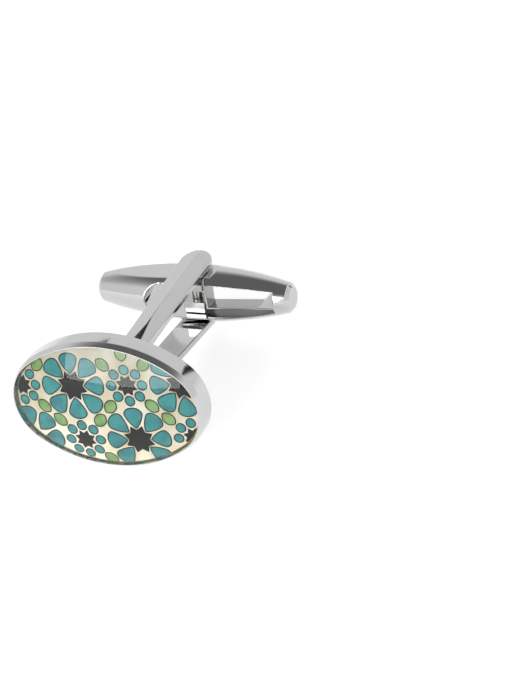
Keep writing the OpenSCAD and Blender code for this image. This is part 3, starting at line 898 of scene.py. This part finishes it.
class CUFFLINK_OT_mosaic(bpy.types.Operator):
    """Sinks a pocket for each cell into the gilt plate and fills them with enamel."""

    bl_idname = "cufflink.mosaic"
    bl_label = "Mosaic"

    def execute(self, context):
        head, sizes = context.scene.cufflink_head, context.scene.cufflink_mosaic
        oval = Oval(head)
        mosaic = Mosaic(sizes, oval)
        top, bottom = PLATE[1][2] - POST_LEN, PLATE[0][2] - POST_LEN
        pocket = STARS[0][2] - POST_LEN
        self.plate(mosaic, oval, head, sizes, top, bottom, pocket)
        for kind, slot in CELL_SLOTS.items():
            cells = Solid()
            for loop in mosaic.loops(kind, 0):
                foot = cells.ring(loop, pocket)
                edge = cells.ring(loop, top)
                inner = cells.ring(inset(loop, sizes.line_w), top)
                cells.wall(foot, edge, 1)
                cells.wall(edge, inner, 1)
                cells.cap(inner, True)
                cells.cap(foot, False)
            piece = cells.build(kind + "_fired", [material("fired_" + slot),
                                                  material("blackened_pocket_wall")])
            dress(piece, "head", slot, kind)
        return {"FINISHED"}

    def plate(self, mosaic, oval, head, sizes, top, bottom, pocket):
        """Plate with its pockets."""
        plate = Solid()
        outline = oval.ring(-head.set_gap)
        edge = plate.ring(outline, top)
        loops = [edge]
        for kind in CELL_SLOTS:
            for loop in mosaic.loops(kind, sizes.cell_gap):
                loops.append(plate.ring(loop, top))
        # The points are joined in millimetres, and faces in a cell have that cell as a parent too
        flat = [Vector(p[:2]) / MM for p in plate.points]
        triangles_inside, least_gap = 1, 1e-5
        found, _, faces, origin, _, parents = geometry.delaunay_2d_cdt(
            flat, [], loops, triangles_inside, least_gap)
        if len(found) != len(flat):
            raise RuntimeError("two cells of the mosaic cross each other")
        for face, parent in zip(faces, parents):
            if parent == [0]:
                plate.faces.append(tuple(origin[i][0] for i in face))
                plate.marks.append(0)
        for ring in loops[1:]:
            floor = plate.ring([plate.points[i][:2] for i in ring], pocket)
            plate.wall(ring, floor)
            plate.cap(floor, True)
        foot = plate.ring(outline, bottom)
        plate.wall(foot, edge)
        plate.cap(foot, False)
        piece = plate.build("mosaic_plate_gilt", [material("satin_gilt_brass")])
        dress(piece, "head", "gilt_plate", "mosaic_plate")


class CUFFLINK_OT_fork(bpy.types.Operator):
    """Casts the two-armed post with a ridge down each arm and rounds its edges."""

    bl_idname = "cufflink.fork"
    bl_label = "Fork"

    # Grain of its mesh
    VOXEL = 0.075 * MM
    # Shares of the rounding that the crisp edges of the ridge and the seam with the cup get
    RIDGE_SHARE = 1 / 3
    SEAM_SHARE = 1 / 4

    def execute(self, context):
        sizes = context.scene.cufflink_fork
        soft = sizes.edge_round
        back = FORK[1][2] - POST_LEN
        half_gap, half_foot = sizes.fork_gap / 2, sizes.foot_gap / 2
        nose_r = FORK[1][0]
        nose_z = -POST_LEN - sizes.nose_past
        tip_z = nose_z - nose_r
        lean = math.atan((half_gap - half_foot) / (POST_LEN + back - sizes.foot_t))
        roof = math.atan(sizes.ridge_h / nose_r)
        facet = math.atan(sizes.flat_h / (sizes.flat_start + back))
        ridge_t = sizes.arm_edge_t + sizes.ridge_h
        arm_low = (half_gap + ridge_t + math.tan(lean) * (sizes.nose_past + nose_r)
                   - sizes.tip_flat)
        bend_r = half_foot * math.cos(lean)
        bend_z = back - sizes.foot_t - bend_r
        half_foot_w = sizes.arm_foot_w / 2
        taper = math.atan((nose_r - half_foot_w) / (back - nose_z))

        def field(points):
            """Distance from the face of the fork, which is negative inside it."""
            x, y, z = np.abs(points[:, 0]), np.abs(points[:, 1]), points[:, 2]
            side = (x - half_foot_w - (back - z) * math.tan(taper)) * math.cos(taper)
            plan = np.where(z < nose_z, np.hypot(x, z - nose_z) - nose_r, side)
            high = (y - half_gap - ridge_t) * math.cos(lean) + (z + POST_LEN) * math.sin(lean)
            far = -(y - half_gap - ridge_t) * math.sin(lean) + (z + POST_LEN) * math.cos(lean)
            slopes = high * math.cos(roof) + x * math.sin(roof)
            flat = high * math.cos(facet) + (far - POST_LEN + sizes.flat_start) * math.sin(facet)
            tip = (y - arm_low) * math.cos(LEAN_BACK) - (z - tip_z) * math.sin(LEAN_BACK)
            gap_side = (y - half_foot - bend_r * math.tan(lean)
                        + (z - bend_z) * math.tan(lean)) * math.cos(lean)
            gap = np.where(z < bend_z, gap_side, np.hypot(y, z - bend_z) - bend_r)
            bore = np.maximum(np.hypot(x, z + POST_LEN) - PIN[1][0], y - PIN[1][1])
            body = smooth_max(slopes, flat, tip, width=soft * self.RIDGE_SHARE)
            body = smooth_max(body, plan, -gap, width=soft)
            body = smooth_max(body, z - back, width=soft * self.SEAM_SHARE)
            return np.maximum(body, -bore)

        piece = polished("fork_polished", "fork", field, self.VOXEL,
                         material("rhodium_plated_brass"))
        dress(piece, "head", "plated_brass", "fork")
        return {"FINISHED"}


class CUFFLINK_OT_toggle(bpy.types.Operator):
    """Turns the toggle, slots it, and cuts the room for the arm ends."""

    bl_idname = "cufflink.toggle"
    bl_label = "Toggle"

    # Grain of its mesh
    VOXEL = 0.07 * MM
    # Shares of the rounding that the crisp edges of the ends and their shoulders get
    END_SHARE = 1 / 3
    SHOULDER_SHARE = 1 / 2

    def execute(self, context):
        sizes, fork = context.scene.cufflink_toggle, context.scene.cufflink_fork
        soft = sizes.edge_round
        bar_half = BAR[1][0]
        bar_r = sizes.bar_d / 2
        end_r = sizes.bar_end_d / 2
        bevel = sizes.bar_bevel
        sag = bar_r - end_r - bevel
        curve_r = (bar_half ** 2 + sag ** 2) / (2 * sag)
        slot_half = sizes.slot_h / 2
        slot_right = bar_half - sizes.slot_right_wall
        solid_left = bar_half - sizes.slot_left_wall
        slot_left = solid_left - sizes.slot_draw
        left_r = slot_half - (slot_left - slot_half) ** 2 / (2 * sizes.slot_curve_r)
        recess_r = fork.nose_past + FORK[1][0] + sizes.recess_gap
        back = FORK[1][2] - POST_LEN
        lean = math.atan((fork.fork_gap - fork.foot_gap) / 2 / (POST_LEN + back - fork.foot_t))
        seat = fork.fork_gap / 2 - sizes.side_gap - math.tan(lean) * bar_r / 2
        slope = lean + sizes.flat_extra
        bore_r = PIN[1][0] + sizes.run_gap

        def field(points):
            """Distance from the face of the toggle, which is negative inside it."""
            x, y, z = points[:, 0], np.abs(points[:, 1]), points[:, 2] + POST_LEN
            around = np.hypot(y, z)
            spindle = np.hypot(around + curve_r - bar_r, x) - curve_r
            reach = np.abs(x)
            chamfer = ((around - end_r) + (reach - bar_half)) * math.sqrt(0.5)
            button = smooth_max(reach - bar_half, chamfer, width=soft * self.END_SHARE)
            step = smooth_max(around - end_r - bevel, button, width=soft * self.END_SHARE)
            button = np.minimum(step, reach - bar_half + bevel)
            bar = smooth_max(spindle, button, width=soft * self.SHOULDER_SHARE)
            slot = np.hypot(x, y - slot_half + sizes.slot_curve_r) - sizes.slot_curve_r
            slot = np.maximum(slot, x - slot_right)
            round_end = np.hypot(x - left_r + slot_left, y) - left_r
            slot = np.where(x < left_r - slot_left, np.maximum(slot, round_end), slot)
            hole = np.hypot(x, z)
            recess = np.maximum(hole - recess_r, seat - y)
            flat = np.maximum(x * math.sin(slope) - (y - seat) * math.cos(slope),
                              x * math.cos(slope) + (y - seat) * math.sin(slope))
            room = np.minimum(recess, flat)
            return smooth_max(bar, -slot, -room, bore_r - hole, width=soft)

        def draw(points):
            """Points near the left end of the solid's slot, moved along to where it is drawn."""
            stops = [-solid_left - slot_half, -solid_left - soft, slot_half - solid_left, -bore_r]
            along = np.interp(points[:, 0], stops, [0, 1, 1, 0])
            across = np.clip((seat - np.abs(points[:, 1])) / (seat - slot_half), 0, 1)
            moved = points.copy()
            moved[:, 0] += sizes.slot_draw * along * across
            return moved

        piece = polished("toggle_bar_polished", "toggle_bar", field, self.VOXEL,
                         material("rhodium_plated_brass"), draw)
        dress(piece, "toggle", "plated_brass", "toggle_bar")
        return {"FINISHED"}


class CUFFLINK_OT_works(bpy.types.Operator):
    """Eases the edges of the pin, the cams, the spring and the other pieces inside."""

    bl_idname = "cufflink.works"
    bl_label = "Works"

    # Node, its body, its slot in the frame, its finish, and the width over which an edge is eased
    PIECES = (("pivot_pin", "head", "pin_steel", "polished_steel", 0.04 * MM),
              ("upper_detent_cam", "head", "cam_steel", "polished_steel", 0.06 * MM),
              ("lower_detent_cam", "head", "cam_steel", "polished_steel", 0.06 * MM),
              ("leaf_spring", "toggle", "spring_steel", "rolled_spring_steel", 0.03 * MM),
              ("spring_anchor", "toggle", "anchor_brass", "rhodium_plated_brass", 0.05 * MM),
              ("backing_pad", "head", "packing_card", "pressed_card", 0.08 * MM))

    def execute(self, context):
        for node, body, slot, finish, width in self.PIECES:
            piece = eased(node + "_eased", node, width, material(finish))
            dress(piece, body, slot, node)
        return {"FINISHED"}


class CUFFLINK_OT_stage(bpy.types.Operator):
    """Sets up the pale floor, the soft studio light and the camera."""

    bl_idname = "cufflink.stage"
    bl_label = "Studio"

    # Side of the floor in metres, width of the camera's sensor in millimetres, and the nearest
    # and the furthest that the camera sees, in metres
    FLOOR_SIZE = 4.0
    SENSOR = 36.0
    NEAREST, FURTHEST = 0.01, 10.0
    # Glow of the floor as metal and glass show it, and how much more of it the camera sees
    FLOOR_GLOW = 0.5
    WHITE_FLOOR = 0.12
    # Strength of the pale walls and the dark ceiling, and the heights between which one turns
    # into the other, where 0 is level and 1 is straight up
    WALLS, CEILING = 0.87, 0.16
    WALL_TOP, CEILING_EDGE = 0.46, 0.86
    # Name, place, width and height in metres, and power in watts
    WINDOW = ("window_softbox", (-0.12, -0.43, 0.17), 0.37, 0.34, 1.4)
    # Name, place, width and height of each black card, which the metal mirrors as a dark streak
    CARDS = (("black_card_left", (-0.19, 0.385, 0.245), 0.05, 0.08),
             ("black_card_right", (0.19, 0.34, 0.1), 0.05, 0.1))

    def execute(self, context):
        scene = context.scene
        self.floor(scene)
        self.world(scene)
        self.lamp(*self.WINDOW)
        for card in self.CARDS:
            self.card(*card)
        self.camera(scene)
        scene.view_settings.view_transform = "Standard"
        return {"FINISHED"}

    def sheet(self, name, width, height, paint):
        """Flat rectangle of the studio, which isn't part of the cufflink."""
        mesh = bpy.data.meshes.new(name)
        x, y = width / 2, height / 2
        mesh.from_pydata([(-x, -y, 0), (x, -y, 0), (x, y, 0), (-x, y, 0)], [], [(0, 1, 2, 3)])
        mesh.materials.append(paint)
        sheet = put(name, mesh)
        return sheet

    def floor(self, scene):
        """White paper that shows its own colour in the picture, and keeps the shadow."""
        paper = new_material("studio_paper")
        tree = paper.node_tree
        matt = add(tree, "BsdfDiffuse", {"Color": opaque(scene.cufflink_finishes.floor)})
        path = add(tree, "LightPath", {})
        level = add(tree, "Math", {0: path.outputs["Is Camera Ray"], 1: self.WHITE_FLOOR,
                                   2: self.FLOOR_GLOW}, operation="MULTIPLY_ADD")
        glow = add(tree, "Emission", {"Color": WHITE, "Strength": level.outputs[0]})
        seen = add(tree, "Math", {0: path.outputs["Is Camera Ray"],
                                  1: path.outputs["Is Glossy Ray"]}, operation="MAXIMUM")
        seen = add(tree, "Math", {0: seen.outputs[0], 1: path.outputs["Is Transmission Ray"]},
                   operation="MAXIMUM")
        none = add(tree, "Emission", {"Strength": 0.0})
        lift = add(tree, "MixShader", {0: seen.outputs[0], 1: none.outputs[0],
                                       2: glow.outputs[0]})
        both = add(tree, "AddShader", {0: matt.outputs[0], 1: lift.outputs[0]})
        add(tree, "OutputMaterial", {"Surface": both.outputs[0]})
        self.sheet("studio_floor", self.FLOOR_SIZE, self.FLOOR_SIZE, paper)

    def world(self, scene):
        """Pale walls all round and a dark ceiling."""
        world = bpy.data.worlds.new("studio_world")
        scene.world = world
        world.use_nodes = True
        tree = world.node_tree
        tree.nodes.clear()
        way = add(tree, "TexCoord", {}).outputs["Generated"]
        parts = add(tree, "SeparateXYZ", {0: way})
        shade = add(tree, "MapRange", {"Value": parts.outputs["Z"], "From Min": self.WALL_TOP,
                                       "From Max": self.CEILING_EDGE, "To Min": self.WALLS,
                                       "To Max": self.CEILING}, interpolation_type="SMOOTHSTEP")
        background = add(tree, "Background", {"Color": WHITE,
                                              "Strength": shade.outputs["Result"]})
        add(tree, "OutputWorld", {"Surface": background.outputs[0]})

    def aim(self, thing, place_at):
        """Puts a lamp or a card in its place, turned to the cufflink."""
        thing.location = place_at
        thing.rotation_euler = Vector(place_at).to_track_quat("Z", "Y").to_euler()

    def lamp(self, name, place_at, width, height, power):
        """Soft rectangular lamp."""
        light = bpy.data.lights.new(name, "AREA")
        light.shape = "RECTANGLE"
        light.size, light.size_y = width, height
        light.energy = power
        self.aim(put(name, light), place_at)

    def card(self, name, place_at, width, height):
        """Black card that stands behind the cufflink."""
        paint = new_material(name)
        tree = paint.node_tree
        black = bpy.context.scene.cufflink_finishes.black_card
        matt = add(tree, "BsdfDiffuse", {"Color": opaque(black)})
        add(tree, "OutputMaterial", {"Surface": matt.outputs[0]})
        self.aim(self.sheet(name, width, height, paint), place_at)

    def camera(self, scene):
        """Camera at the angle of the picture."""
        settings = scene.cufflink_camera
        data = bpy.data.cameras.new("camera")
        data.lens = settings.lens / MM
        data.sensor_width = self.SENSOR
        data.clip_start, data.clip_end = self.NEAREST, self.FURTHEST
        camera = put("camera", data)
        around, height = settings.azimuth, settings.elevation
        back = Vector((math.sin(around) * math.cos(height),
                       -math.cos(around) * math.cos(height), math.sin(height)))
        level = Vector((math.cos(around), math.sin(around), 0))
        turned = Matrix((level, back.cross(level), back)).transposed().to_4x4()
        camera.matrix_world = (Matrix.Translation(Vector(settings.aim) + settings.distance * back)
                               @ turned @ Matrix.Rotation(settings.roll, 4, "Z"))
        scene.camera = camera


class CUFFLINK_PT_panel(bpy.types.Panel):
    """Sizes, colours and build steps of the cufflink."""

    bl_idname = "CUFFLINK_PT_panel"
    bl_label = "Cufflink"
    bl_space_type = "VIEW_3D"
    bl_region_type = "UI"
    bl_category = "Cufflink"

    def draw(self, context):
        for group in GROUPS:
            box = self.layout.box()
            settings = getattr(context.scene, group)
            for name in settings.bl_rna.properties.keys():
                if name not in ("rna_type", "name"):
                    box.prop(settings, name)
        for operator in OPERATORS:
            self.layout.operator(operator.bl_idname)


GROUPS = {"cufflink_head": HeadSizes, "cufflink_mosaic": MosaicSizes, "cufflink_fork": ForkSizes,
          "cufflink_toggle": ToggleSizes, "cufflink_finishes": Finishes,
          "cufflink_camera": CameraSettings}
OPERATORS = (CUFFLINK_OT_cup, CUFFLINK_OT_dome, CUFFLINK_OT_mosaic, CUFFLINK_OT_fork,
             CUFFLINK_OT_toggle, CUFFLINK_OT_works, CUFFLINK_OT_stage)
CLASSES = (*GROUPS.values(), *OPERATORS, CUFFLINK_PT_panel)


def register():
    for item in CLASSES:
        bpy.utils.register_class(item)
    for name, group in GROUPS.items():
        setattr(bpy.types.Scene, name, PointerProperty(type=group))


def unregister():
    for name in GROUPS:
        delattr(bpy.types.Scene, name)
    for item in reversed(CLASSES):
        bpy.utils.unregister_class(item)


def main():
    """Makes the cufflink and its studio."""
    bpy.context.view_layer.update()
    register()
    for operator in OPERATORS:
        group, name = operator.bl_idname.split(".")
        getattr(getattr(bpy.ops, group), name)()


if __name__ == "__main__":
    main()
